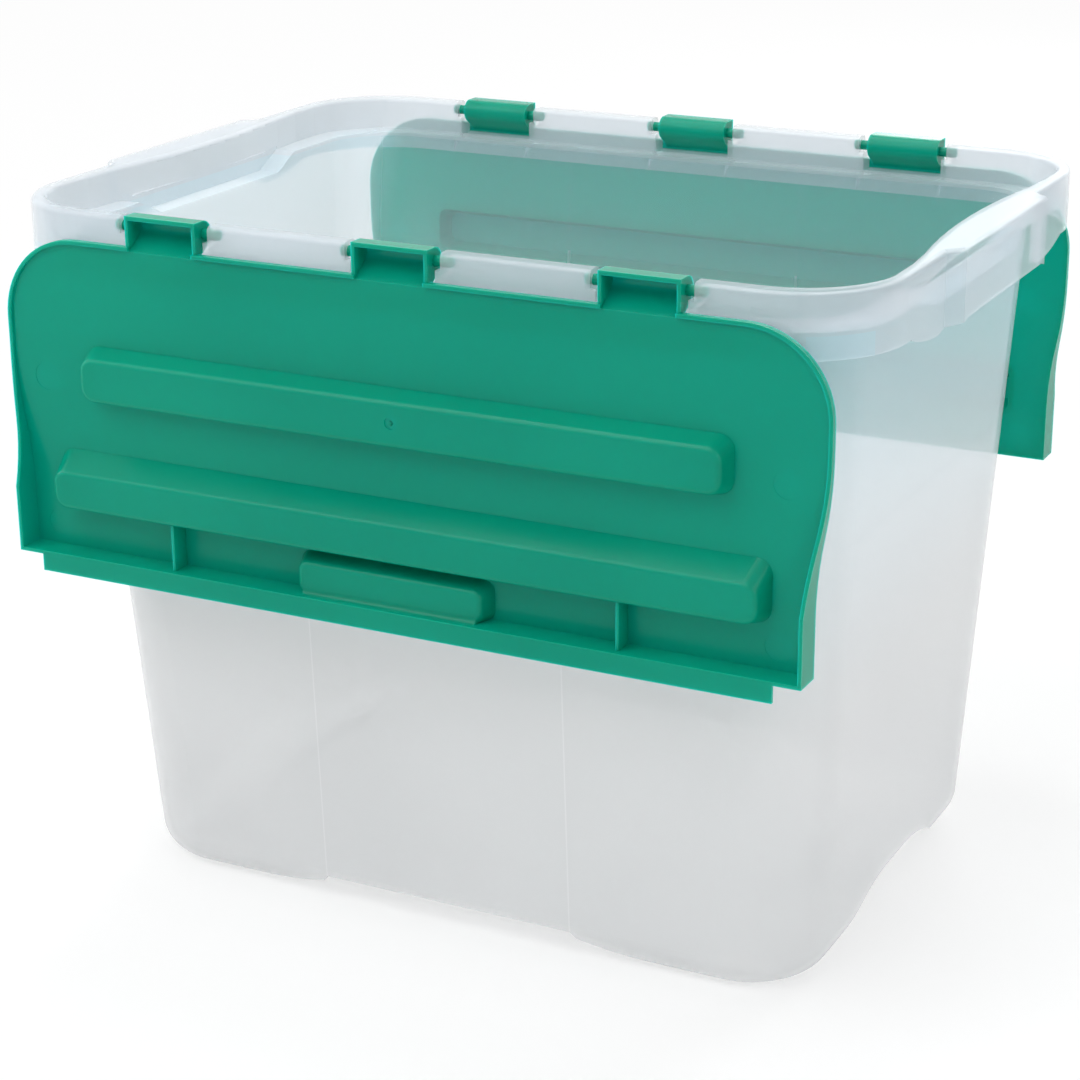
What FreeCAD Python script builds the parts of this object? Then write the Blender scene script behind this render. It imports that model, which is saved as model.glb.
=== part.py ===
import FreeCAD, Part
import math
import os
import Sketcher

# Storage box with a milky tub and two lid flaps that hinge on its long sides.
# Frame: Z is up, X runs along the long sides, the origin is under the middle of the base.
# The flaps hang open outside the tub, which is where they rest.

# Driving sizes in millimetres and degrees.
SIZES = {
    # Hinge lines, one above each long side
    "hinge_height": 387.5,
    "hinge_half_span": 182.8,
    "hinge_spacing": 135.0,
    "pin_radius": 2.8,
    "pin_reach": 31.0,
    "pin_clearance": 0.1,
    # Tub walls and floor
    "tub_wall": 2.2,
    "wall_top_half_length": 226.5,
    "wall_top_half_width": 167.2,
    "wall_top_corner": 41.0,
    "base_half_length": 207.2,
    "base_half_width": 146.6,
    "base_corner": 47.0,
    "base_round": 20.0,
    "floor_thick": 2.4,
    # Feet, left standing by arched channels under the floor and a deeper arch at each short end
    "side_arch_rise": 15.0,
    "side_arch_flat": 38.0,
    "side_arch_run": 75.0,
    "end_arch_rise": 25.0,
    "end_arch_flat": 15.0,
    "end_arch_run": 100.0,
    "end_arch_depth": 38.0,
    "arch_below_base": 0.4,
    "front_arch_flat": 76.0,
    "front_arch_step_run": 3.0,
    "front_arch_step": 3.5,
    "front_arch_run": 86.0,
    # Rim: a hollow band open underneath, round a ledge inside
    "rim_rise": 5.5,
    "rim_wall": 2.0,
    "rim_half_length": 247.0,
    "rim_half_width": 187.9,
    "rim_corner": 57.7,
    "rim_depth_long": 10.7,
    "rim_depth_short": 7.5,
    "rim_inner_corner": 47.0,
    "rim_round": 3.0,
    "rim_cap": 2.2,
    "ledge_drop": 14.0,
    "ledge_thick": 2.2,
    "skirt_drop": 28.0,
    # Handles, in the middle of each short side
    "handle_reach": 8.0,
    "handle_half_width": 68.0,
    "handle_step_run": 7.0,
    "handle_skirt_drop": 30.5,
    "handle_skirt_half_width": 62.0,
    "shoulder_drop": 35.5,
    "shoulder_half_width": 82.0,
    "shoulder_end": 125.0,
    "handle_inner_set": 2.0,
    "handle_inner_half_width": 84.0,
    "handle_inner_run": 24.0,
    "handle_inner_bow": 6.5,
    "dip_drop": 23.5,
    "dip_half_width": 62.0,
    "dip_ramp_run": 20.0,
    # Notches in the rim that the flap knuckles turn in
    "notch_half_low": 24.0,
    "notch_half_high": 27.0,
    "cheek": 2.5,
    "pin_rest_drop": 3.5,
    "gusset_tip_drop": 27.0,
    "gusset_root_share": 0.8,
    "gusset_foot": 13.6,
    "gusset_foot_thick": 1.5,
    "gusset_round": 14.0,
    # Flap panel and its edge wall
    "panel_gap": 6.1,
    "panel_thick": 2.2,
    "flap_edge_drop": 9.3,
    "flap_reach": 181.6,
    "flap_half_length": 234.5,
    "flap_corner": 45.0,
    "flap_waist": 7.2,
    "waist_start": 70.0,
    "waist_end": 150.0,
    "edge_wall": 2.0,
    "edge_rise": 1.6,
    "free_edge_depth": 14.7,
    "edge_sweep_start": 65.0,
    # Flap knuckles
    "knuckle_half_width": 21.5,
    "knuckle_radius": 6.8,
    "knuckle_wall": 2.2,
    "knuckle_cheek": 2.0,
    "ramp_angle": 54.0,
    "ramp_root": 2.0,
    # Two hollow bars pressed into each flap
    "bar_wall": 2.2,
    "bar_round": 3.0,
    "upper_bar_near": 64.5,
    "upper_bar_far": 95.5,
    "upper_bar_half_length": 185.5,
    "upper_bar_height": 11.7,
    "upper_bar_near_slope": 5.0,
    "upper_bar_far_slope": 3.0,
    "lower_bar_near": 123.0,
    "lower_bar_far": 157.0,
    "lower_bar_half_length": 206.0,
    "lower_bar_height": 13.7,
    "lower_bar_near_slope": 10.5,
    "lower_bar_far_slope": 3.5,
    "bar_end_slope": 3.0,
    "bar_corner": 8.0,
    # Finger pocket and lip of the front flap, stiffening ribs of both
    "pocket_half_length": 57.0,
    "pocket_near": 158.5,
    "pocket_height": 9.7,
    "pocket_slope": 4.0,
    "pocket_corner": 6.0,
    "lip_half_length": 212.5,
    "lip_thick": 2.0,
    "lip_reach": 9.4,
    "lip_clearance": 0.6,
    "rib_place": 129.5,
    "rib_thick": 1.6,
    "rib_height": 11.0,
    "rib_bite": 1.2,
    # Moulding marks on the flap's underside
    "mark_radius": 7.5,
    "mark_depth": 0.2,
    "mark_upper_drop": 85.5,
    "mark_lower_drop": 167.5,
    "mark_upper_x": 212.5,
    "mark_lower_x": 210.0,
    "gate_place": 5.0,
    "gate_radius": 3.2,
    "gate_depth": 0.6,
    # Extra length that lets a cut pass clear of the material
    "overrun": 20.0,
}

doc = FreeCAD.newDocument("StorageBox")
sheet = doc.addObject("Spreadsheet::Sheet", "Sizes")
for row, (alias, number) in enumerate(SIZES.items(), start=1):
    sheet.set(f"A{row}", alias)
    sheet.set(f"B{row}", str(number))
    sheet.setAlias(f"B{row}", alias)
doc.recompute()


class Size:
    """A length, angle or share, with the sheet expression that drives it."""

    def __init__(self, value, text):
        self.value = float(value)
        self.text = text

    def __add__(self, other):
        other = as_size(other)
        return Size(self.value + other.value, f"({self.text} + {other.text})")

    def __sub__(self, other):
        other = as_size(other)
        return Size(self.value - other.value, f"({self.text} - {other.text})")

    def __mul__(self, other):
        other = as_size(other)
        return Size(self.value * other.value, f"({self.text} * {other.text})")

    def __truediv__(self, other):
        other = as_size(other)
        return Size(self.value / other.value, f"({self.text} / {other.text})")

    def __neg__(self):
        return Size(-self.value, f"(0 - {self.text})")

    __rmul__ = __mul__


def as_size(number):
    """Gives a plain number the form of a Size."""
    return number if isinstance(number, Size) else Size(number, repr(number))


def cosine(angle):
    """The cosine of an angle in degrees."""
    return Size(math.cos(math.radians(angle.value)), f"cos({angle.text} * 1 deg)")


def sine(angle):
    """The sine of an angle in degrees."""
    return Size(math.sin(math.radians(angle.value)), f"sin({angle.text} * 1 deg)")


def size(alias):
    """The Size kept in one cell of the sheet."""
    return Size(SIZES[alias], f"Sizes.{alias}")


ZERO = as_size(0.0)
WHOLE = as_size(1.0)
LEFT = "left"
RIGHT = "right"


def s_radius(run, rise):
    """Radius of the two equal arcs that make an S of the given run and rise."""
    return (run * run + rise * rise) / (4 * rise)


def quarter_radius(run, rise):
    """Radius of one arc that leaves a line smoothly and rises over a run."""
    return (run * run + rise * rise) / (2 * rise)


def bend_centre(start, end, radius, turn):
    """Centre of the short arc from start to end that turns left or right."""
    chord = end - start
    reach = math.sqrt(max(radius**2 - (chord.Length / 2) ** 2, 0.0))
    across = FreeCAD.Vector(-chord.y, chord.x, 0).normalize()
    return (start + end) * 0.5 + across * (reach if turn == LEFT else -reach)


def bend_edge(start, end, radius, turn):
    """The arc itself, drawn anticlockwise as the sketch keeps it."""
    centre = bend_centre(start, end, radius, turn)
    first, last = (start, end) if turn == LEFT else (end, start)
    circle = Part.Circle(centre, FreeCAD.Vector(0, 0, 1), radius)
    angles = [math.atan2(point.y - centre.y, point.x - centre.x) for point in (first, last)]
    return Part.ArcOfCircle(circle, angles[0], angles[1])


def fix_point(sketch, geometry, end, x, y):
    """Binds one end of a sketch edge to its place in the sketch."""
    for kind, axis, place in (("DistanceX", -2, x), ("DistanceY", -1, y)):
        if abs(place.value) == 0:
            sketch.addConstraint(Sketcher.Constraint("PointOnObject", geometry, end, axis))
            continue
        if place.value > 0:
            constraint = Sketcher.Constraint(kind, -1, 1, geometry, end, place.value)
            text = place.text
        else:
            constraint = Sketcher.Constraint(kind, geometry, end, -1, 1, -place.value)
            text = (-place).text
        index = sketch.addConstraint(constraint)
        sketch.setExpression(f"Constraints[{index}]", text)


def draw_outline(sketch, outline):
    """Draws one closed outline: each corner is (x, y) or (x, y, radius, turn) for an arc to the next."""
    corners = [FreeCAD.Vector(corner[0].value, corner[1].value, 0) for corner in outline]
    first = sketch.GeometryCount
    ends = []
    for index, corner in enumerate(outline):
        start = corners[index]
        end = corners[(index + 1) % len(corners)]
        if len(corner) == 2:
            sketch.addGeometry(Part.LineSegment(start, end), False)
            ends.append((1, 2))
        else:
            sketch.addGeometry(bend_edge(start, end, corner[2].value, corner[3]), False)
            ends.append((1, 2) if corner[3] == LEFT else (2, 1))
    for index, corner in enumerate(outline):
        following = (index + 1) % len(outline)
        here = first + index
        sketch.addConstraint(
            Sketcher.Constraint("Coincident", here, ends[index][1], first + following, ends[following][0])
        )
        fix_point(sketch, here, ends[index][0], corner[0], corner[1])
        if len(corner) == 4:
            radius = sketch.addConstraint(Sketcher.Constraint("Radius", here, corner[2].value))
            sketch.setExpression(f"Constraints[{radius}]", corner[2].text)


def draw_circle(sketch, x, y, radius):
    """Draws one circle bound to its centre and radius."""
    circle = Part.Circle(FreeCAD.Vector(x.value, y.value, 0), FreeCAD.Vector(0, 0, 1), radius.value)
    index = sketch.addGeometry(circle, False)
    bound = sketch.addConstraint(Sketcher.Constraint("Radius", index, radius.value))
    sketch.setExpression(f"Constraints[{bound}]", radius.text)
    fix_point(sketch, index, 3, x, y)


def new_sketch(body, name, plane, offset, outlines=(), circles=()):
    """Makes a sketch on one of the body's own planes, moved along the plane's normal."""
    sketch = body.newObject("Sketcher::SketchObject", name)
    support = [feature for feature in body.Origin.OriginFeatures if feature.Role == plane]
    sketch.AttachmentSupport = [(support[0], "")]
    sketch.MapMode = "FlatFace"
    sketch.setExpression("AttachmentOffset.Base.z", offset.text)
    for outline in outlines:
        draw_outline(sketch, outline)
    for circle in circles:
        draw_circle(sketch, *circle)
    sketch.Visibility = False
    return sketch


def extrude(body, kind, name, sketch, length, symmetric=False, flip=False):
    """Pads or pockets a sketch by a bound length."""
    feature = body.newObject(f"PartDesign::{kind}", name)
    feature.Profile = sketch
    feature.SideType = "Symmetric" if symmetric else "One side"
    feature.Reversed = flip
    feature.setExpression("Length", length.text)
    doc.recompute()
    return feature


def cut_away(body, name, tool):
    """Cuts one body out of another."""
    feature = body.newObject("PartDesign::Boolean", name)
    feature.setObjects([tool])
    feature.Type = "Cut"
    doc.recompute()
    return feature


def loft(body, kind, name, first, second):
    """Lofts straight between two sketches."""
    feature = body.newObject(f"PartDesign::{kind}Loft", name)
    feature.Profile = first
    feature.Sections = [second]
    feature.Ruled = True
    doc.recompute()
    return feature


def round_edges(body, name, radius, chosen):
    """Rounds the edges of the body's newest feature that the test picks."""
    base = body.Tip
    names = [f"Edge{index}" for index, edge in enumerate(base.Shape.Edges, start=1) if chosen(edge)]
    feature = body.newObject("PartDesign::Fillet", name)
    feature.Base = (base, names)
    feature.setExpression("Radius", radius.text)
    doc.recompute()
    return feature


def at_height(height):
    """A test for edges that lie flat at one height."""
    def test(edge):
        box = edge.BoundBox
        return abs(box.ZMin - height.value) < TOUCH and abs(box.ZMax - height.value) < TOUCH
    return test


TOUCH = 0.01


def rounded_box(half_x, half_y, corner, middle_x=ZERO, middle_y=ZERO):
    """Outline of a rectangle with round corners."""
    right, left = middle_x + half_x, middle_x - half_x
    top, bottom = middle_y + half_y, middle_y - half_y
    return [
        (left + corner, bottom),
        (right - corner, bottom, corner, LEFT),
        (right, bottom + corner),
        (right, top - corner, corner, LEFT),
        (right - corner, top),
        (left + corner, top, corner, LEFT),
        (left, top - corner),
        (left, bottom + corner, corner, LEFT),
    ]


def rim_outline(half_x, half_y, corner, handle_x, handle_half, handle_run, bow=()):
    """Outline of the rim, with a straight or bowed handle set out or in on each short side."""
    half = [
        (half_x, -half_y + corner),
        (half_x, -handle_half - handle_run),
        (handle_x, -handle_half, *bow),
        (handle_x, handle_half),
        (half_x, handle_half + handle_run),
        (half_x, half_y - corner, corner, LEFT),
        (half_x - corner, half_y),
        (-half_x + corner, half_y, corner, LEFT),
    ]
    return half + [(-x, -y, *bend) for x, y, *bend in half]


# Heights and levels of the tub, measured from the base
hinge_height = size("hinge_height")
rim_top = hinge_height + size("rim_rise")
ledge_top = hinge_height - size("ledge_drop")
ledge_under = ledge_top - size("ledge_thick")
skirt_bottom = hinge_height - size("skirt_drop")
handle_bottom = hinge_height - size("handle_skirt_drop")
shoulder_bottom = hinge_height - size("shoulder_drop")
cap_under = rim_top - size("rim_cap")
dip_top = hinge_height - size("dip_drop")
floor_thick = size("floor_thick")
overrun = size("overrun")


def outer_rim(inset):
    """Outer face of the rim, moved in by an inset."""
    return rim_outline(
        size("rim_half_length") - inset,
        size("rim_half_width") - inset,
        size("rim_corner") - inset,
        size("rim_half_length") + size("handle_reach") - inset,
        size("handle_half_width") - inset,
        size("handle_step_run"),
    )


def inner_rim(outset):
    """Inner face of the rim, moved out by an outset."""
    return rim_outline(
        size("rim_half_length") - size("rim_depth_short") + outset,
        size("rim_half_width") - size("rim_depth_long") + outset,
        size("rim_inner_corner") + outset,
        size("rim_half_length") - size("rim_depth_short") - size("handle_inner_set") + outset,
        size("handle_inner_half_width"),
        size("handle_inner_run"),
        (quarter_radius(size("handle_inner_half_width"), size("handle_inner_bow")), RIGHT),
    )


def wall_section(height, inset):
    """Outline of the tub's tapered wall at a height, moved in by an inset."""
    share = height / ledge_top
    sizes = []
    for base, top in (
        ("base_half_length", "wall_top_half_length"),
        ("base_half_width", "wall_top_half_width"),
        ("base_corner", "wall_top_corner"),
    ):
        sizes.append(size(base) + (size(top) - size(base)) * share - inset)
    return rounded_box(*sizes)


def add_rim(body):
    """Adds the hollow rim band, its handles and the ledge plate inside it."""
    band = new_sketch(body, "BandOutline", "XY_Plane", shoulder_bottom, [outer_rim(ZERO)])
    extrude(body, "Pad", "Band", band, rim_top - shoulder_bottom)
    round_edges(body, "BandTopRound", size("rim_round"), at_height(rim_top))
    under = new_sketch(body, "UnderOutline", "XY_Plane", shoulder_bottom, [outer_rim(size("rim_wall"))])
    extrude(body, "Pocket", "UnderHollow", under, ledge_under - shoulder_bottom, flip=True)
    channel = new_sketch(
        body, "ChannelOutline", "XY_Plane", ledge_under,
        [outer_rim(size("rim_wall")), inner_rim(size("rim_wall"))],
    )
    extrude(body, "Pocket", "RimChannel", channel, cap_under - ledge_under, flip=True)
    opening = new_sketch(body, "OpeningOutline", "XY_Plane", rim_top, [inner_rim(ZERO)])
    extrude(body, "Pocket", "RimOpening", opening, rim_top - ledge_top)
    inside = size("rim_half_length") - size("rim_depth_short") + size("rim_round")
    on_top = at_height(rim_top)
    round_edges(
        body, "OpeningTopRound", size("rim_round"),
        lambda edge: on_top(edge) and is_inner_edge(edge, inside.value),
    )
    half = size("handle_skirt_half_width")
    shoulder = size("shoulder_half_width")
    end = size("shoulder_end")
    far = size("rim_half_width") + overrun
    low = shoulder_bottom - overrun
    bend = quarter_radius(end - shoulder, skirt_bottom - shoulder_bottom)
    profile = [
        (-far, low),
        (far, low),
        (far, skirt_bottom),
        (end, skirt_bottom, bend, RIGHT),
        (shoulder, shoulder_bottom),
        (half, handle_bottom),
        (-half, handle_bottom),
        (-shoulder, shoulder_bottom, bend, RIGHT),
        (-end, skirt_bottom),
        (-far, skirt_bottom),
    ]
    trim = new_sketch(body, "SkirtTrimOutline", "YZ_Plane", ZERO, [profile])
    length = 2 * (size("rim_half_length") + size("handle_reach") + overrun)
    extrude(body, "Pocket", "SkirtTrim", trim, length, symmetric=True)


def is_inner_edge(edge, half_length):
    """Tells an edge of the rim's opening from one of its outer face."""
    middle = edge.valueAt((edge.FirstParameter + edge.LastParameter) / 2)
    inner_y = (size("rim_half_width") - size("rim_depth_long") + size("rim_round")).value
    corner = size("rim_inner_corner").value
    if abs(middle.x) > half_length or abs(middle.y) > inner_y:
        return False
    over_x = abs(middle.x) - (half_length - corner)
    over_y = abs(middle.y) - (inner_y - corner)
    return over_x <= 0 or over_y <= 0 or math.hypot(over_x, over_y) <= corner


def dip_block():
    """Profile of the plate under the dip in a short side's ledge."""
    half = size("dip_half_width") + size("ledge_thick")
    top = half + size("dip_ramp_run")
    under = dip_top - size("ledge_thick")
    return [
        (-half, under),
        (half, under),
        (top, ledge_top),
        (-top, ledge_top),
    ]


def add_tub_walls(body):
    """Adds the tapered tub below the rim, hollows it and lowers the ledge at the short sides."""
    inner_face = size("rim_half_length") - size("rim_depth_short") - size("handle_inner_set")
    block_far = inner_face + size("rim_wall")
    block_near = size("wall_top_half_length") - 2 * size("tub_wall")
    for way, side in ((1, "Right"), (-1, "Left")):
        start = block_near if way > 0 else -block_far
        block = new_sketch(body, f"Dip{side}Outline", "YZ_Plane", start, [dip_block()])
        extrude(body, "Pad", f"Dip{side}", block, block_far - block_near)
    low = new_sketch(body, "BaseOutline", "XY_Plane", ZERO, [wall_section(ZERO, ZERO)])
    high = new_sketch(body, "WallTopOutline", "XY_Plane", ledge_top, [wall_section(ledge_top, ZERO)])
    loft(body, "Additive", "TubOutside", low, high)
    round_edges(body, "BaseRound", size("base_round"), at_height(ZERO))
    cut_away(body, "CavityCut", build_cavity())
    half = size("dip_half_width")
    top = half + size("dip_ramp_run")
    above = ledge_top + size("tub_wall")
    profile = [
        (-half, dip_top),
        (half, dip_top),
        (top, ledge_top),
        (top, above),
        (-top, above),
        (-top, ledge_top),
    ]
    across = new_sketch(body, "DipCutOutline", "YZ_Plane", ZERO, [profile])
    extrude(body, "Pocket", "DipCut", across, 2 * inner_face, symmetric=True)


def build_cavity():
    """Builds the space inside the tub, which leaves a floor of even thickness over the arches."""
    body = doc.addObject("PartDesign::Body", "Cavity")
    wall = size("tub_wall")
    above = ledge_top + wall
    middle = ledge_top / 2
    core = new_sketch(body, "CoreOutline", "XY_Plane", middle, [wall_section(ZERO, size("base_round"))])
    extrude(body, "Pad", "Core", core, above - middle)
    floor = new_sketch(body, "FloorOutline", "XY_Plane", floor_thick, [wall_section(floor_thick, wall)])
    mouth = new_sketch(body, "MouthOutline", "XY_Plane", above, [wall_section(above, wall)])
    loft(body, "Additive", "Space", floor, mouth)
    round_edges(body, "FloorRound", size("base_round") - wall, at_height(floor_thick))
    cut_arches(body, floor_thick)
    return body


def add_hinge_seats(body):
    """Cuts the knuckle notches and adds the cheeks that hold the pins, with gussets under them."""
    low, high = size("notch_half_low"), size("notch_half_high")
    rest = hinge_height - size("pin_rest_drop")
    above = rim_top + overrun
    cheek = size("cheek")
    notches = []
    cheeks = []
    for place in (-1, 0, 1):
        middle = place * size("hinge_spacing") if place else ZERO
        notches.append([
            (middle - low, ledge_top),
            (middle + low, ledge_top),
            (middle + low, rest),
            (middle + high, rest),
            (middle + high, above),
            (middle - high, above),
            (middle - high, rest),
            (middle - low, rest),
        ])
        for way in (1, -1):
            cheeks.append([
                (middle + way * low, ledge_under),
                (middle + way * (low + cheek), ledge_under),
                (middle + way * (low + cheek), rest - cheek),
                (middle + way * (high + cheek), rest - cheek),
                (middle + way * (high + cheek), cap_under + size("rim_cap") / 2),
                (middle + way * high, cap_under + size("rim_cap") / 2),
                (middle + way * high, rest),
                (middle + way * low, rest),
            ])
    notch = new_sketch(body, "NotchOutlines", "XZ_Plane", ZERO, notches)
    extrude(body, "Pocket", "Notches", notch, 2 * (size("rim_half_width") + overrun), symmetric=True)
    wall = size("rim_wall")
    outer = size("rim_half_width") - wall / 2
    inner = size("rim_half_width") - size("rim_depth_long") + wall / 2
    for way, side in ((1, "Front"), (-1, "Rear")):
        start = inner if way > 0 else -outer
        seat = new_sketch(body, f"{side}CheekOutlines", "XZ_Plane", start, cheeks)
        extrude(body, "Pad", f"{side}Cheeks", seat, outer - inner)
    for place in (-1, 0, 1):
        middle = place * size("hinge_spacing") if place else ZERO
        name = {-1: "Left", 0: "Middle", 1: "Right"}[place]
        for way in (1, -1):
            start = middle + low if way > 0 else middle - low - cheek
            side = "A" if way > 0 else "B"
            plate = new_sketch(
                body, f"{name}Gusset{side}Outline", "YZ_Plane", start, [gusset(1), gusset(-1)]
            )
            extrude(body, "Pad", f"{name}Gusset{side}", plate, cheek)
        hole = size("pin_radius") + size("pin_clearance")
        axis = size("hinge_half_span")
        bores = new_sketch(
            body, f"{name}PinHoleCircles", "YZ_Plane", middle, [],
            [(axis, hinge_height, hole), (-axis, hinge_height, hole)],
        )
        reach = size("pin_reach") + 2 * size("pin_clearance")
        extrude(body, "Pocket", f"{name}PinHoles", bores, 2 * reach, symmetric=True)


def gusset(way):
    """Profile of a gusset between the tub wall and the rim skirt, on one long side."""
    root = size("wall_top_half_width") - size("tub_wall") * size("gusset_root_share")
    tip = hinge_height - size("gusset_tip_drop")
    foot = root + size("gusset_foot")
    foot_level = ledge_under - size("gusset_foot_thick")
    outer = size("rim_half_width") - size("rim_wall") / 2
    top = ledge_under + size("ledge_thick") / 4
    return [
        (way * outer, top),
        (way * root, top),
        (way * root, tip, size("gusset_round"), RIGHT if way > 0 else LEFT),
        (way * foot, foot_level),
        (way * outer, foot_level),
    ]


def arch_profile(rise, flat, run, lift):
    """Profile of an arch with a flat top and an S on each side, lifted by a floor."""
    dip = size("arch_below_base")
    bend = s_radius(run, rise + dip)
    half_way = lift + (rise - dip) / 2
    foot = lift - dip
    return [
        (-flat - run, -overrun),
        (flat + run, -overrun),
        (flat + run, foot, bend, RIGHT),
        (flat + run / 2, half_way, bend, LEFT),
        (flat, lift + rise),
        (-flat, lift + rise, bend, LEFT),
        (-flat - run / 2, half_way, bend, RIGHT),
        (-flat - run, foot),
    ]


def front_arch_profile(lift):
    """Profile of the stepped arch that opens to the long sides, lifted by a floor."""
    rise = size("side_arch_rise")
    flat = size("front_arch_flat") + lift
    step = flat + size("front_arch_step_run")
    end = step + size("front_arch_run")
    step_level = rise - size("front_arch_step")
    foot = -size("arch_below_base")
    bend = quarter_radius(size("front_arch_run"), step_level - foot)
    return [
        (-end, -overrun),
        (end, -overrun),
        (end, lift + foot, bend, RIGHT),
        (step, lift + step_level),
        (flat, lift + rise),
        (-flat, lift + rise),
        (-step, lift + step_level, bend, RIGHT),
        (-end, lift + foot),
    ]


def cut_arches(body, lift):
    """Cuts the arched channels that leave four feet, lifted by a floor where they bound the cavity."""
    side = arch_profile(size("side_arch_rise"), size("side_arch_flat"), size("side_arch_run"), lift)
    arch = new_sketch(body, "SideArchOutline", "YZ_Plane", ZERO, [side])
    extrude(body, "Pocket", "SideArch", arch, 2 * (size("base_half_length") + overrun), symmetric=True)
    arch = new_sketch(body, "FrontArchOutline", "XZ_Plane", ZERO, [front_arch_profile(lift)])
    extrude(body, "Pocket", "FrontArch", arch, 2 * (size("base_half_width") + overrun), symmetric=True)
    end = arch_profile(size("end_arch_rise"), size("end_arch_flat"), size("end_arch_run"), lift)
    near = size("base_half_length") - size("end_arch_depth") - lift
    far = size("base_half_length") + overrun
    for way, name in ((1, "Right"), (-1, "Left")):
        arch = new_sketch(body, f"{name}ArchOutline", "YZ_Plane", way * far, [end])
        extrude(body, "Pocket", f"{name}Arch", arch, far - near, flip=way < 0)


def build_tub():
    """Builds the tub with its rim, hinge seats and feet."""
    body = doc.addObject("PartDesign::Body", "Tub")
    body.Label = "tub"
    add_rim(body)
    add_tub_walls(body)
    add_hinge_seats(body)
    cut_arches(body, ZERO)
    return body


# Levels of a flap, measured outward from its hinge axis as it hangs
panel_inner = size("panel_gap")
panel_outer = panel_inner + size("panel_thick")
free_edge_outer = panel_outer + size("free_edge_depth")


def flap_outline(inset):
    """Outline of a hanging flap, moved in by an inset."""
    half = size("flap_half_length") - inset
    waist = half - size("flap_waist")
    corner = size("flap_corner") - inset
    top = -size("flap_edge_drop") - inset
    bottom = -size("flap_reach") + inset
    start = -size("waist_start")
    end = -size("waist_end")
    middle_x = half - size("flap_waist") / 2
    middle_z = (start + end) / 2
    bend = s_radius(start - end, size("flap_waist"))
    return [
        (-waist, bottom),
        (waist, bottom),
        (waist, end, bend, RIGHT),
        (middle_x, middle_z, bend, LEFT),
        (half, start),
        (half, top - corner, corner, LEFT),
        (half - corner, top),
        (-half + corner, top, corner, LEFT),
        (-half, top - corner),
        (-half, start, bend, LEFT),
        (-middle_x, middle_z, bend, RIGHT),
        (-waist, end),
    ]


def add_panel(body):
    """Adds the flap's panel with an edge wall that deepens towards the free edge."""
    block = new_sketch(body, "FlapOutline", "XZ_Plane", panel_inner, [flap_outline(ZERO)])
    extrude(body, "Pad", "FlapBlock", block, free_edge_outer - panel_inner)
    inner = flap_outline(size("edge_wall"))
    inside = new_sketch(body, "PanelOutline", "XZ_Plane", free_edge_outer, [inner])
    extrude(body, "Pocket", "PanelHollow", inside, size("free_edge_depth"))
    shallow = panel_outer + size("edge_rise")
    deep = free_edge_outer + size("edge_rise")
    start = -size("edge_sweep_start")
    end = -size("waist_end")
    sweep = quarter_radius(start - end, deep - shallow)
    trim = [
        (-shallow, overrun),
        (-deep - overrun, overrun),
        (-deep - overrun, end),
        (-deep, end, sweep, LEFT),
        (-shallow, start),
    ]
    edge = new_sketch(body, "EdgeSweepOutline", "YZ_Plane", ZERO, [trim])
    extrude(body, "Pocket", "EdgeSweep", edge, 2 * (size("flap_half_length") + overrun), symmetric=True)


def bar_outline(bar, height_share, inset):
    """Outline of a bar at a share of its height, moved in by an inset."""
    near = -size(f"{bar}_bar_near") - size(f"{bar}_bar_near_slope") * height_share - inset
    far = -size(f"{bar}_bar_far") + size(f"{bar}_bar_far_slope") * height_share + inset
    half = size(f"{bar}_bar_half_length") - size("bar_end_slope") * height_share - inset
    return rounded_box(half, (near - far) / 2, size("bar_corner") - inset, ZERO, (near + far) / 2)


def add_bar(body, bar):
    """Adds one hollow bar that stands out of the panel's underside."""
    title = bar.capitalize()
    root = panel_outer - size("panel_thick") / 2
    crown = panel_outer + size(f"{bar}_bar_height")
    foot = new_sketch(body, f"{title}BarFoot", "XZ_Plane", root, [bar_outline(bar, ZERO, ZERO)])
    top = new_sketch(body, f"{title}BarTop", "XZ_Plane", crown, [bar_outline(bar, WHOLE, ZERO)])
    loft(body, "Additive", f"{title}Bar", foot, top)
    round_edges(body, f"{title}BarRound", size("bar_round"), at_depth(crown))
    wall = size("bar_wall")
    mouth_level = panel_inner - size("panel_thick") / 2
    at_foot, at_top = bar_outline(bar, ZERO, wall), bar_outline(bar, WHOLE, wall)
    mouth = new_sketch(body, f"{title}ChannelMouth", "XZ_Plane", mouth_level, [at_foot])
    bed = new_sketch(body, f"{title}ChannelBed", "XZ_Plane", crown - wall, [at_top])
    loft(body, "Subtractive", f"{title}Channel", mouth, bed)


def at_depth(depth):
    """A test for edges that lie flat at one distance outward from the hinge axis."""
    def test(edge):
        box = edge.BoundBox
        return abs(box.YMin + depth.value) < TOUCH and abs(box.YMax + depth.value) < TOUCH
    return test


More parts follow.
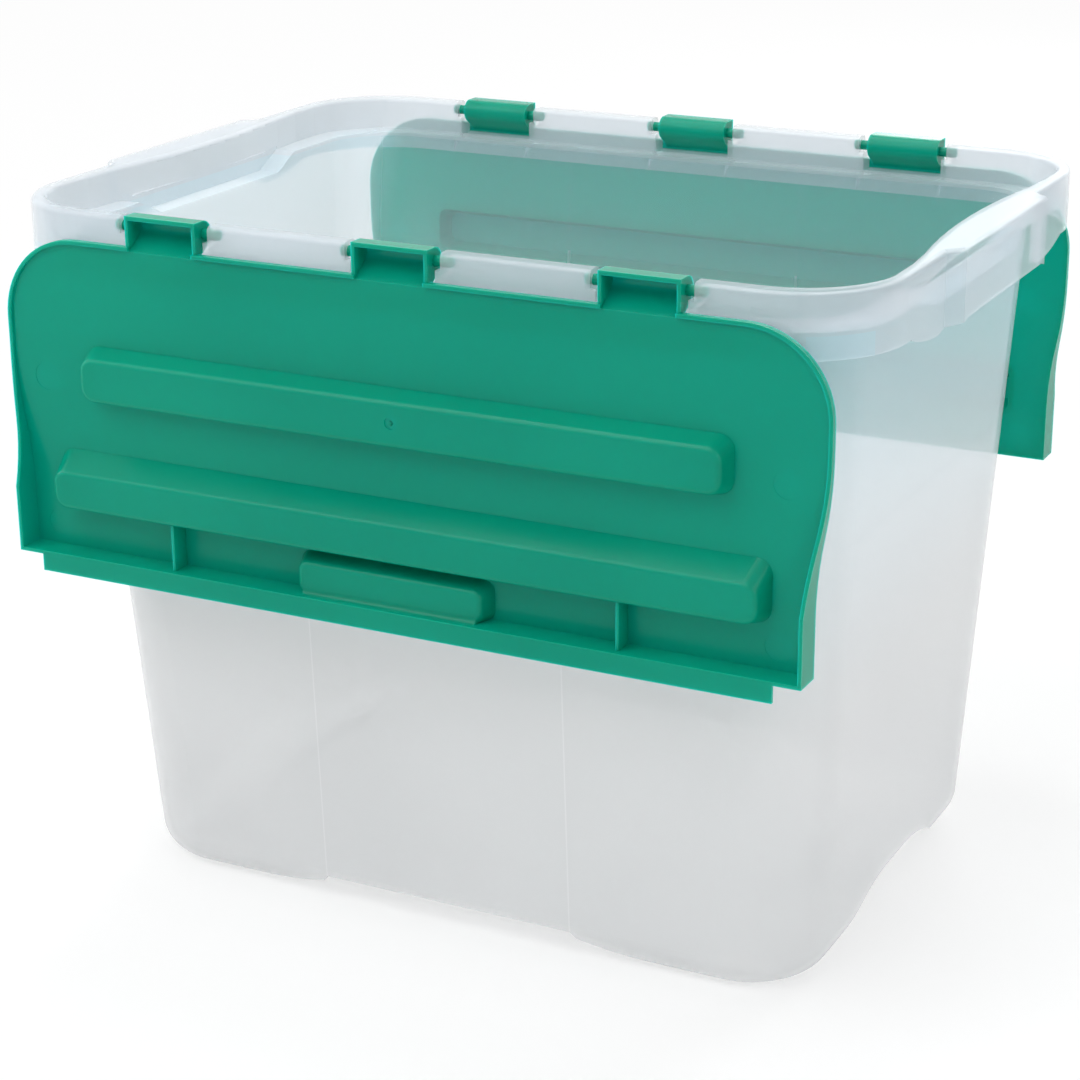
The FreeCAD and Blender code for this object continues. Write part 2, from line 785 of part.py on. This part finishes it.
def add_knuckles(body):
    """Adds three hollow hooks round the hinge axis, with a stub pin on each cheek."""
    radius = size("knuckle_radius")
    bore = radius - size("knuckle_wall")
    angle = size("ramp_angle")
    slope = cosine(angle) / sine(angle)
    touch_y, touch_z = radius * cosine(angle), -(radius * sine(angle))
    root_z = touch_z - (panel_inner + touch_y) * slope
    hook = [
        (-panel_outer, radius),
        (ZERO, radius, radius, RIGHT),
        (touch_y, touch_z),
        (-panel_inner, root_z),
        (-panel_inner, root_z - size("ramp_root")),
        (-panel_outer, root_z - size("ramp_root")),
    ]
    hollow_y, hollow_z = bore * cosine(angle), -(bore * sine(angle))
    outside = panel_outer + overrun
    hollow = [
        (-outside, bore),
        (ZERO, bore, bore, RIGHT),
        (hollow_y, hollow_z),
        (-outside, hollow_z - (outside + hollow_y) * slope),
    ]
    width = 2 * size("knuckle_half_width")
    for place, name in ((-1, "Left"), (0, "Middle"), (1, "Right")):
        middle = place * size("hinge_spacing") if place else ZERO
        section = new_sketch(body, f"{name}KnuckleSection", "YZ_Plane", middle, [hook])
        extrude(body, "Pad", f"{name}Knuckle", section, width, symmetric=True)
        pin = new_sketch(
            body, f"{name}PinCircle", "YZ_Plane", middle, [], [(ZERO, ZERO, size("pin_radius"))]
        )
        extrude(body, "Pad", f"{name}Pin", pin, 2 * size("pin_reach"), symmetric=True)
        inside = new_sketch(body, f"{name}HollowSection", "YZ_Plane", middle, [hollow])
        extrude(
            body, "Pocket", f"{name}Hollow", inside, width - 2 * size("knuckle_cheek"), symmetric=True
        )


def add_ribs(body):
    """Adds the two thin ribs between the lower bar and the free edge."""
    near = -size("lower_bar_far") + size("rib_bite")
    slope = size("lower_bar_far_slope") * (size("rib_height") / size("lower_bar_height"))
    far = -size("flap_reach") + size("edge_wall") / 2
    root = panel_outer - size("panel_thick") / 4
    crown = panel_outer + size("rib_height")
    profile = [
        (-root, near),
        (-crown, near + slope),
        (-crown, far),
        (-root, far),
    ]
    for way, name in ((1, "Right"), (-1, "Left")):
        start = way * size("rib_place") - size("rib_thick") / 2
        rib = new_sketch(body, f"{name}RibOutline", "YZ_Plane", start, [profile])
        extrude(body, "Pad", f"{name}Rib", rib, size("rib_thick"))


def pocket_outline(height_share, inset):
    """Outline of the finger pocket at a share of its height, moved in by an inset."""
    slope = size("pocket_slope") * height_share
    half = size("pocket_half_length") - slope - inset
    near = -size("pocket_near") - slope - inset
    far = -size("flap_reach") + size("edge_wall") / 2 + inset
    return rounded_box(half, (near - far) / 2, size("pocket_corner") - inset, ZERO, (near + far) / 2)


def add_finger_pocket(body):
    """Adds the pocket that lets fingers reach under the other flap's edge."""
    root = panel_outer - size("panel_thick") / 2
    crown = panel_outer + size("pocket_height")
    foot = new_sketch(body, "PocketFoot", "XZ_Plane", root, [pocket_outline(ZERO, ZERO)])
    top = new_sketch(body, "PocketTop", "XZ_Plane", crown, [pocket_outline(WHOLE, ZERO)])
    loft(body, "Additive", "PocketShell", foot, top)
    round_edges(body, "PocketRound", size("bar_round"), at_depth(crown))
    wall = size("bar_wall")
    mouth_level = panel_inner - size("panel_thick") / 2
    mouth = new_sketch(body, "PocketMouth", "XZ_Plane", mouth_level, [pocket_outline(ZERO, wall)])
    bed = new_sketch(body, "PocketBed", "XZ_Plane", crown - wall, [pocket_outline(WHOLE, wall)])
    loft(body, "Subtractive", "PocketHollow", mouth, bed)


def plain_box(half_x, low, high):
    """Outline of a rectangle centred on the sketch's upright axis."""
    return [(-half_x, low), (half_x, low), (half_x, high), (-half_x, high)]


def add_lip(body):
    """Adds the lip that runs under the other flap's free edge."""
    level = free_edge_outer - size("lip_thick")
    high = -size("flap_reach") + size("edge_wall")
    low = -size("flap_reach") - size("lip_reach")
    outline = plain_box(size("lip_half_length"), low, high)
    strip = new_sketch(body, "LipOutline", "XZ_Plane", level, [outline])
    extrude(body, "Pad", "Lip", strip, size("lip_thick"))


def add_lip_room(body):
    """Cuts back the free edge wall where the other flap's lip runs under it."""
    keep = free_edge_outer - size("lip_thick") - size("lip_clearance")
    half = size("lip_half_length") + size("lip_thick")
    low = -size("flap_reach") - overrun
    high = -size("flap_reach") + size("lip_reach") + size("lip_thick")
    strip = new_sketch(body, "LipRoomOutline", "XZ_Plane", free_edge_outer, [plain_box(half, low, high)])
    extrude(body, "Pocket", "LipRoom", strip, free_edge_outer - keep)


def add_marks(body):
    """Adds the shallow ejector rounds on the panel and the gate mark on the upper bar."""
    rounds = []
    for way in (1, -1):
        rounds.append((way * size("mark_upper_x"), -size("mark_upper_drop"), size("mark_radius")))
        rounds.append((way * size("mark_lower_x"), -size("mark_lower_drop"), size("mark_radius")))
    marks = new_sketch(body, "EjectorCircles", "XZ_Plane", panel_outer, [], rounds)
    extrude(body, "Pocket", "EjectorMarks", marks, size("mark_depth"))
    crown = panel_outer + size("upper_bar_height")
    middle = -(size("upper_bar_near") + size("upper_bar_far")) / 2
    gate = new_sketch(
        body, "GateCircle", "XZ_Plane", crown, [], [(size("gate_place"), middle, size("gate_radius"))]
    )
    extrude(body, "Pocket", "GateMark", gate, size("gate_depth"))


def build_flap(name, way, with_lip):
    """Builds one flap on its hinge axis and hangs it on its side of the tub."""
    body = doc.addObject("PartDesign::Body", name.title().replace("_", ""))
    body.Label = name
    add_panel(body)
    add_bar(body, "upper")
    add_bar(body, "lower")
    add_ribs(body)
    if with_lip:
        add_finger_pocket(body)
        add_lip(body)
    else:
        add_lip_room(body)
    add_knuckles(body)
    add_marks(body)
    turn = FreeCAD.Rotation(FreeCAD.Vector(0, 0, 1), 0 if way < 0 else 180)
    body.Placement = FreeCAD.Placement(FreeCAD.Vector(), turn)
    body.setExpression("Placement.Base.y", (way * size("hinge_half_span")).text)
    body.setExpression("Placement.Base.z", hinge_height.text)
    doc.recompute()
    return body


bodies = [
    build_tub(),
    build_flap("front_flap", -1, True),
    build_flap("rear_flap", 1, False),
]
doc.recompute()

for item in doc.Objects:
    if "Invalid" in item.State or "Error" in item.State:
        raise RuntimeError(f"{item.Name} failed: {item.State}")
for body in bodies:
    if body.Shape.isNull() or not body.Shape.isValid():
        raise RuntimeError(f"{body.Label} has no valid shape")
    if len(body.Shape.Solids) != 1:
        raise RuntimeError(f"{body.Label} is not one solid")

os.makedirs("parts", exist_ok=True)
for body in bodies:
    body.Shape.exportStep(f"parts/{body.Label}.step")
    print(body.Label, round(body.Shape.Volume), "cubic millimetres")
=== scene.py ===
"""Looks of a storage box: a milky tub with two green lid flaps that hang open on its long rims."""

import logging
import math
from dataclasses import dataclass
from enum import Enum
from typing import Any, Sequence, Tuple

import bmesh
import bpy
from mathutils import Matrix, Vector


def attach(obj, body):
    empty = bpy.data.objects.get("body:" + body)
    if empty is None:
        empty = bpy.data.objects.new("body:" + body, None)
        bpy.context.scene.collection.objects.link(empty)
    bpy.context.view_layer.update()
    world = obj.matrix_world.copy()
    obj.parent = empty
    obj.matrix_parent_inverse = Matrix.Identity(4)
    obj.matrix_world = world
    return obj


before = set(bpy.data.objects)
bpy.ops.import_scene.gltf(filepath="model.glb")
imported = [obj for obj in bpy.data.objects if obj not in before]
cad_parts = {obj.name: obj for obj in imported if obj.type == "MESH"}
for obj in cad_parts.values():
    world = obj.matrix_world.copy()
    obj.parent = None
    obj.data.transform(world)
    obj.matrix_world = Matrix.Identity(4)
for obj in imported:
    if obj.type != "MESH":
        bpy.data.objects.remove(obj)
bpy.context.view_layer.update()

log = logging.getLogger("storage_box")

Colour = Tuple[float, float, float, float]
Place = Tuple[float, float, float]
Socket = bpy.types.NodeSocket
WHITE: Colour = (1.0, 1.0, 1.0, 1.0)
QUARTER_TURN = math.radians(90.0)
MIX_SHARE, MIX_FIRST, MIX_SECOND, MIX_RESULT = 0, 6, 7, 2


class Side(Enum):
    """The long side that a flap hangs on, as the sign of its Y."""

    FRONT = -1
    REAR = 1


class Graph:
    """Adds nodes and links to one node tree."""

    def __init__(self, tree: bpy.types.NodeTree) -> None:
        """Keeps the tree that nodes are added to."""
        self.tree = tree

    def put(self, node: bpy.types.Node, inputs: dict) -> None:
        """Fills inputs of a node.

        Args:
            node: a node of the tree.
            inputs: values or sockets by input name or number; a socket is linked.
        """
        for name, value in inputs.items():
            if isinstance(value, Socket):
                self.tree.links.new(value, node.inputs[name])
            else:
                node.inputs[name].default_value = value

    def add(self, kind: str, inputs: dict | None = None, **settings: Any) -> bpy.types.Node:
        """Adds one node.

        Args:
            kind: Blender's type name of the node.
            inputs: values or sockets by input name or number; a socket is linked.
            settings: properties of the node itself.

        Returns:
            The new node.
        """
        node = self.tree.nodes.new(kind)
        for name, value in settings.items():
            setattr(node, name, value)
        self.put(node, inputs or {})
        return node

    def math(self, operation: str, first: Any, second: Any = 0.0, clamp: bool = False) -> Socket:
        """Returns the result of one Math node on two values or sockets."""
        node = self.add("ShaderNodeMath", {0: first, 1: second}, operation=operation, use_clamp=clamp)
        return node.outputs[0]

    def ramp(self, value: Any, low: float, high: float, to_low: float, to_high: float) -> Socket:
        """Returns a value mapped smoothly from one range to another."""
        inputs = {"Value": value, "From Min": low, "From Max": high, "To Min": to_low, "To Max": to_high}
        node = self.add("ShaderNodeMapRange", inputs, interpolation_type="SMOOTHSTEP")
        return node.outputs["Result"]

    def blend(self, share: Any, first: Any, second: Any) -> Socket:
        """Returns a colour between two colours or sockets."""
        node = self.add("ShaderNodeMix", data_type="RGBA")
        self.put(node, {MIX_SHARE: share, MIX_FIRST: first, MIX_SECOND: second})
        return node.outputs[MIX_RESULT]


@dataclass(frozen=True)
class MouldGrain:
    """Fine grain and slow flow waves that a moulded face takes from its steel tool."""

    name: str = "mould_grain"
    grain_detail: float = 2.0
    grain_roughness: float = 0.5
    flow_detail: float = 1.0
    flow_roughness: float = 0.4
    tone_from: float = 0.3
    tone_to: float = 0.7

    def group(self) -> bpy.types.NodeTree:
        """Builds the shader node group once.

        Returns:
            The group, with a vector, two scales and a share in, and a height and a tone out.
        """
        made = bpy.data.node_groups.get(self.name)
        if made:
            return made
        tree = bpy.data.node_groups.new(self.name, "ShaderNodeTree")
        tree.interface.new_socket(name="Vector", in_out="INPUT", socket_type="NodeSocketVector")
        for label in ("Grain Scale", "Flow Scale", "Flow Share"):
            tree.interface.new_socket(name=label, in_out="INPUT", socket_type="NodeSocketFloat")
        for label in ("Height", "Tone"):
            tree.interface.new_socket(name=label, in_out="OUTPUT", socket_type="NodeSocketFloat")
        graph = Graph(tree)
        source = graph.add("NodeGroupInput").outputs
        grain = graph.add("ShaderNodeTexNoise", {
            "Vector": source["Vector"], "Scale": source["Grain Scale"],
            "Detail": self.grain_detail, "Roughness": self.grain_roughness})
        flow = graph.add("ShaderNodeTexNoise", {
            "Vector": source["Vector"], "Scale": source["Flow Scale"],
            "Detail": self.flow_detail, "Roughness": self.flow_roughness})
        waves = graph.math("MULTIPLY", flow.outputs["Fac"], source["Flow Share"])
        height = graph.math("ADD", grain.outputs["Fac"], waves)
        tone = graph.ramp(flow.outputs["Fac"], self.tone_from, self.tone_to, 0.0, 1.0)
        graph.add("NodeGroupOutput", {"Height": height, "Tone": tone})
        return tree


@dataclass(frozen=True)
class MouldedFinish:
    """What both plastics share: grain, tone waves, roughness and bump."""

    name: str
    smooth: float
    dull: float
    grain_scale: float
    flow_scale: float
    flow_share: float
    bump_strength: float
    bump_distance: float

    def begin(self) -> Tuple[bpy.types.Material, Graph, Socket, Socket]:
        """Starts the material with its grain, roughness and bump.

        Returns:
            The material, its graph, the Object coordinates and the tone of the flow waves.
        """
        material = bpy.data.materials.new(self.name)
        material.use_nodes = True
        graph = Graph(material.node_tree)
        place = graph.add("ShaderNodeTexCoord").outputs["Object"]
        grain = graph.add("ShaderNodeGroup", node_tree=MouldGrain().group())
        graph.put(grain, {"Vector": place, "Grain Scale": self.grain_scale,
                          "Flow Scale": self.flow_scale, "Flow Share": self.flow_share})
        tone = grain.outputs["Tone"]
        bump = graph.add("ShaderNodeBump", {"Strength": self.bump_strength, "Distance": self.bump_distance,
                                            "Height": grain.outputs["Height"]})
        graph.put(self.shader(material), {"Roughness": graph.ramp(tone, 0.0, 1.0, self.smooth, self.dull),
                                          "Normal": bump.outputs["Normal"]})
        return material, graph, place, tone

    def shader(self, material: bpy.types.Material) -> bpy.types.Node:
        """Returns the Principled shader of a material."""
        return material.node_tree.nodes["Principled BSDF"]


@dataclass(frozen=True)
class GreenPlastic(MouldedFinish):
    """Satin green polypropylene of the flaps, which lets some light through."""

    name: str = "green_flap_finish"
    smooth: float = 0.2
    dull: float = 0.26
    grain_scale: float = 1600.0
    flow_scale: float = 9.0
    flow_share: float = 2.0
    bump_strength: float = 0.05
    bump_distance: float = 0.0004
    deep: Colour = (0.0, 0.257, 0.165, 1.0)
    light: Colour = (0.001, 0.276, 0.177, 1.0)
    specular: float = 0.14
    glow_weight: float = 0.8
    glow_reach: Place = (0.15, 1.0, 1.1)
    glow_scale: float = 0.008

    def material(self) -> bpy.types.Material:
        """Builds the material.

        Returns:
            The green material, with slow tone waves and a fine grain.
        """
        material, graph, _, tone = self.begin()
        graph.put(self.shader(material), {
            "Base Color": graph.blend(tone, self.deep, self.light),
            "Specular IOR Level": self.specular,
            "Subsurface Weight": self.glow_weight,
            "Subsurface Radius": self.glow_reach,
            "Subsurface Scale": self.glow_scale})
        return material


@dataclass(frozen=True)
class MilkyPlastic(MouldedFinish):
    """Milky see-through polypropylene of the tub, hazier in rim, foot and ends than in its long walls."""

    name: str = "milky_tub_finish"
    smooth: float = 0.5
    dull: float = 0.56
    grain_scale: float = 1100.0
    flow_scale: float = 7.0
    flow_share: float = 3.0
    bump_strength: float = 0.06
    bump_distance: float = 0.0005
    deep: Colour = (0.77, 0.778, 0.788, 1.0)
    light: Colour = (0.8, 0.808, 0.818, 1.0)
    # Bluish teal towards the top: partly the plastic's own bluish haze, partly painted tint of the green
    # flap and the dim inside seen through the walls.
    bluish_haze_and_painted_flap_tint: Colour = (0.66, 0.83, 0.91, 1.0)
    rim: Colour = (0.72, 0.78, 0.83, 1.0)
    climb_from: float = 0.14
    climb_to: float = 0.37
    rim_height: float = 0.3713
    rim_length: float = 0.2405
    rim_width: float = 0.1815
    end_from: float = 0.19
    end_to: float = 0.22
    wall_haze: float = 0.18
    end_haze: float = 0.36
    foot_haze: float = 0.52
    rim_haze: float = 0.33
    seam_place: float = 0.076
    seam_half: float = 0.0004
    seam_haze: float = 0.05
    transmission: float = 0.35
    refraction: float = 1.25
    gloss: float = 0.3
    gloss_roughness: float = 0.15

    def rim_zone(self, graph: Graph, along: Any) -> Socket:
        """Returns 1 on the rim and the handles, and 0 on the walls inside them."""
        zone = graph.math("GREATER_THAN", along["Z"], self.rim_height)
        for axis, reach in (("X", self.rim_length), ("Y", self.rim_width)):
            beyond = graph.math("GREATER_THAN", graph.math("ABSOLUTE", along[axis]), reach)
            zone = graph.math("MAXIMUM", zone, beyond)
        return zone

    def haze(self, graph: Graph, along: Any, zone: Socket) -> Socket:
        """Works out how much of the plastic isn't clear.

        Args:
            graph: graph of the material.
            along: the separated Object coordinates.
            zone: 1 on the rim, else 0.

        Returns:
            The haze by place, with faint upright seams in the walls.
        """
        away = graph.math("ABSOLUTE", along["X"])
        at_end = graph.ramp(away, self.end_from, self.end_to, self.wall_haze, self.end_haze)
        low = graph.ramp(along["Z"], self.climb_from, self.climb_to, self.foot_haze, self.wall_haze)
        at_rim = graph.math("MULTIPLY", zone, self.rim_haze)
        haze = graph.math("MAXIMUM", graph.math("MAXIMUM", at_end, low), at_rim)
        off_seam = graph.math("ABSOLUTE", graph.math("SUBTRACT", away, self.seam_place))
        on_seam = graph.math("LESS_THAN", off_seam, self.seam_half)
        below_rim = graph.math("SUBTRACT", 1.0, zone)
        seam = graph.math("MULTIPLY", graph.math("MULTIPLY", on_seam, self.seam_haze), below_rim)
        return graph.math("ADD", haze, seam)

    def material(self) -> bpy.types.Material:
        """Builds the material.

        Returns:
            The milky material, with slow tone waves, a fine grain, a hazy rim, and a top tinted bluish teal:
            partly the plastic's own bluish haze, partly painted tint of the green flap and dim inside seen
            through.
        """
        material, graph, place, tone = self.begin()
        along = graph.add("ShaderNodeSeparateXYZ", {0: place}).outputs
        zone = self.rim_zone(graph, along)
        # Painted tint: the walls turn bluish teal with height, which stands in for the green flap and dim
        # inside seen through them; partly the plastic's own bluish haze.
        climb = graph.ramp(along["Z"], self.climb_from, self.climb_to, 0.0, 1.0)
        wall = graph.blend(climb, graph.blend(tone, self.deep, self.light), self.bluish_haze_and_painted_flap_tint)
        graph.put(self.shader(material), {
            "Base Color": graph.blend(zone, wall, self.rim),
            "Alpha": self.haze(graph, along, zone),
            "Transmission Weight": self.transmission,
            "IOR": self.refraction,
            "Coat Weight": self.gloss,
            "Coat Roughness": self.gloss_roughness})
        return material


def dress(node: str, material: bpy.types.Material) -> None:
    """Gives a CAD node its finish and leaves its mesh as it is."""
    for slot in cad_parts[node].material_slots:
        slot.material = material
    log.info("dressed %s with %s", node, material.name)


def set_down(piece: bmesh.types.BMesh, name: str, body: str,
             material: bpy.types.Material) -> bpy.types.Object:
    """Makes a finished bmesh a piece of the object.

    Args:
        piece: the bmesh, with its place in its points; it is freed.
        name: name of the new object.
        body: CAD body that the piece moves with.
        material: finish of the piece.

    Returns:
        The new object, at the origin.
    """
    mesh = bpy.data.meshes.new(name)
    piece.to_mesh(mesh)
    piece.free()
    mesh.materials.append(material)
    made = bpy.data.objects.new(name, mesh)
    bpy.context.scene.collection.objects.link(made)
    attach(made, body)
    log.info("%s rides on %s: %d faces", name, body, len(mesh.polygons))
    return made


@dataclass
class LidFlap:
    """One lid half with its hinge knuckles, bars and ribs, and the nub that the moulding gate left."""

    body: str
    side: Side
    slot: str = "green_flap"
    gate_x: float = 0.005
    gate_height: float = 0.3075
    gate_floor: float = 0.2022
    nub_radius: float = 0.0015
    nub_tip: float = 0.001
    nub_rise: float = 0.0005
    nub_sink: float = 0.0002
    nub_round: float = 0.0002
    nub_segments: int = 24
    round_segments: int = 3
    round_profile: float = 0.5

    def gate_nub(self) -> bmesh.types.BMesh:
        """Models the low round nub in the gate mark of the upper bar.

        Returns:
            The nub, in its place on the hanging flap.
        """
        nub = bmesh.new()
        bmesh.ops.create_cone(nub, cap_ends=True, segments=self.nub_segments, radius1=self.nub_radius,
                              radius2=self.nub_tip, depth=self.nub_rise + self.nub_sink)
        edge = [line for line in nub.edges if all(point.co.z > 0.0 for point in line.verts)]
        bmesh.ops.bevel(nub, geom=edge, offset=self.nub_round, affect="EDGES", segments=self.round_segments,
                        profile=self.round_profile, material=-1)
        out = self.side.value
        turn = Matrix.Rotation(-out * QUARTER_TURN, 4, "X")
        middle = self.gate_floor + (self.nub_rise - self.nub_sink) / 2
        place = Matrix.Translation((self.gate_x * -out, out * middle, self.gate_height))
        bmesh.ops.transform(nub, matrix=place @ turn, verts=nub.verts)
        return nub

    def build(self, material: bpy.types.Material) -> None:
        """Dresses the flap and sets its gate nub down."""
        dress(self.body, material)
        set_down(self.gate_nub(), self.body + "_gate_nub", self.body, material)


@dataclass
class Tub:
    """The see-through tub with its rim, handles and feet."""

    body: str = "tub"

    def build(self, material: bpy.types.Material) -> None:
        """Dresses the tub."""
        dress(self.body, material)


@dataclass(frozen=True)
class Lamp:
    """One soft square lamp that looks at the box."""

    name: str
    place: Place
    width: float
    watts: float

    def build(self, target: Vector) -> None:
        """Adds the lamp, turned to the target."""
        data = bpy.data.lights.new(self.name, "AREA")
        data.shape = "SQUARE"
        data.size = self.width
        data.energy = self.watts
        lamp = bpy.data.objects.new(self.name, data)
        lamp.location = self.place
        lamp.rotation_euler = (target - Vector(self.place)).to_track_quat("-Z", "Y").to_euler()
        bpy.context.scene.collection.objects.link(lamp)


@dataclass
class Studio:
    """White floor, even sky and soft lamps."""

    floor_radius: float = 14.0
    floor_segments: int = 64
    floor_colour: Colour = (0.86, 0.86, 0.86, 1.0)
    glow_near: float = 0.5
    glow_far: float = 0.96
    glow_start: float = 0.3
    glow_end: float = 0.95
    sky_fill: float = 0.42
    lamps: Sequence[Lamp] = (
        Lamp("key_lamp", (-0.8, -1.8, 2.8), 2.6, 54.0),
        Lamp("side_lamp", (2.6, -1.0, 1.7), 1.6, 18.0),
        Lamp("left_lamp", (-2.6, -0.9, 1.5), 1.6, 18.0),
        Lamp("overhead_lamp", (-0.5, 0.2, 2.7), 1.2, 18.0),
        Lamp("rear_lamp", (0.2, 2.5, 1.5), 2.2, 50.0),
    )
    target: Place = (0.0, 0.0, 0.2)

    def seen_directly(self, graph: Graph) -> Socket:
        """Returns 1 for camera, glossy and transmission rays, else 0."""
        path = graph.add("ShaderNodeLightPath").outputs
        seen = graph.math("ADD", path["Is Camera Ray"], path["Is Glossy Ray"])
        return graph.math("ADD", seen, path["Is Transmission Ray"], clamp=True)

    def build_sky(self) -> None:
        """Makes the sky white where it is seen and an even fill elsewhere."""
        world = bpy.data.worlds.new("studio_sky")
        world.use_nodes = True
        bpy.context.scene.world = world
        world.node_tree.nodes.clear()
        graph = Graph(world.node_tree)
        fill = graph.add("ShaderNodeBackground", {"Color": WHITE, "Strength": self.sky_fill})
        shown = graph.add("ShaderNodeBackground", {"Color": WHITE, "Strength": 1.0})
        seen = self.seen_directly(graph)
        mixed = graph.add("ShaderNodeMixShader", {0: seen, 1: fill.outputs[0], 2: shown.outputs[0]})
        graph.add("ShaderNodeOutputWorld", {"Surface": mixed.outputs[0]})

    def floor_material(self) -> bpy.types.Material:
        """Returns a pale floor that is near white to the eye and keeps the shadow."""
        material = bpy.data.materials.new("studio_floor")
        material.use_nodes = True
        material.node_tree.nodes.clear()
        graph = Graph(material.node_tree)
        pale = graph.add("ShaderNodeBsdfDiffuse", {"Color": self.floor_colour})
        glow = graph.add("ShaderNodeEmission", {"Color": WHITE, "Strength": 1.0})
        place = graph.add("ShaderNodeTexCoord").outputs["Object"]
        away = graph.add("ShaderNodeVectorMath", {0: place}, operation="LENGTH").outputs["Value"]
        lift = graph.ramp(away, self.glow_start, self.glow_end, self.glow_near, self.glow_far)
        share = graph.math("MULTIPLY", self.seen_directly(graph), lift)
        mixed = graph.add("ShaderNodeMixShader", {0: share, 1: pale.outputs[0], 2: glow.outputs[0]})
        graph.add("ShaderNodeOutputMaterial", {"Surface": mixed.outputs[0]})
        return material

    def build(self) -> None:
        """Adds floor, sky and lamps."""
        floor = bmesh.new()
        bmesh.ops.create_circle(floor, cap_ends=True, segments=self.floor_segments, radius=self.floor_radius)
        mesh = bpy.data.meshes.new("studio_floor")
        floor.to_mesh(mesh)
        floor.free()
        mesh.materials.append(self.floor_material())
        plate = bpy.data.objects.new("studio_floor", mesh)
        bpy.context.scene.collection.objects.link(plate)
        self.build_sky()
        for lamp in self.lamps:
            lamp.build(Vector(self.target))
        log.info("studio with %d lamps", len(self.lamps))


@dataclass(frozen=True)
class PhotoCamera:
    """Camera at the photo's place, for a square picture; angles in degrees."""

    place: Place = (0.6373, -1.2816, 0.6897)
    turn: float = 26.235
    rise: float = 19.516
    roll: float = -0.154
    lens: float = 87.69
    sensor: float = 36.0
    sight: float = 60.0
    shift: Tuple[float, float] = (-0.0298, -0.0027)

    def build(self) -> None:
        """Adds the camera and makes it the scene's own."""
        turn, rise, roll = (math.radians(angle) for angle in (self.turn, self.rise, self.roll))
        back = Vector((math.sin(turn) * math.cos(rise), -math.cos(turn) * math.cos(rise), math.sin(rise)))
        right = Vector((math.cos(turn), math.sin(turn), 0.0))
        up = back.cross(right)
        across = right * math.cos(roll) + up * math.sin(roll)
        upward = up * math.cos(roll) - right * math.sin(roll)
        data = bpy.data.cameras.new("photo_camera")
        data.lens = self.lens
        data.sensor_width = self.sensor
        data.shift_x, data.shift_y = self.shift
        data.clip_end = self.sight
        camera = bpy.data.objects.new("photo_camera", data)
        turned = Matrix((across, upward, back)).transposed().to_4x4()
        camera.matrix_world = Matrix.Translation(Vector(self.place)) @ turned
        bpy.context.scene.collection.objects.link(camera)
        bpy.context.scene.camera = camera


def main() -> None:
    """Builds the box, the studio and the camera."""
    logging.basicConfig(level=logging.INFO, format="%(message)s")
    bpy.context.scene.view_settings.view_transform = "Standard"
    green = GreenPlastic().material()
    milky = MilkyPlastic().material()
    Tub().build(milky)
    for flap in (LidFlap("front_flap", Side.FRONT), LidFlap("rear_flap", Side.REAR)):
        flap.build(green)
    Studio().build()
    PhotoCamera().build()


if __name__ == "__main__":
    main()
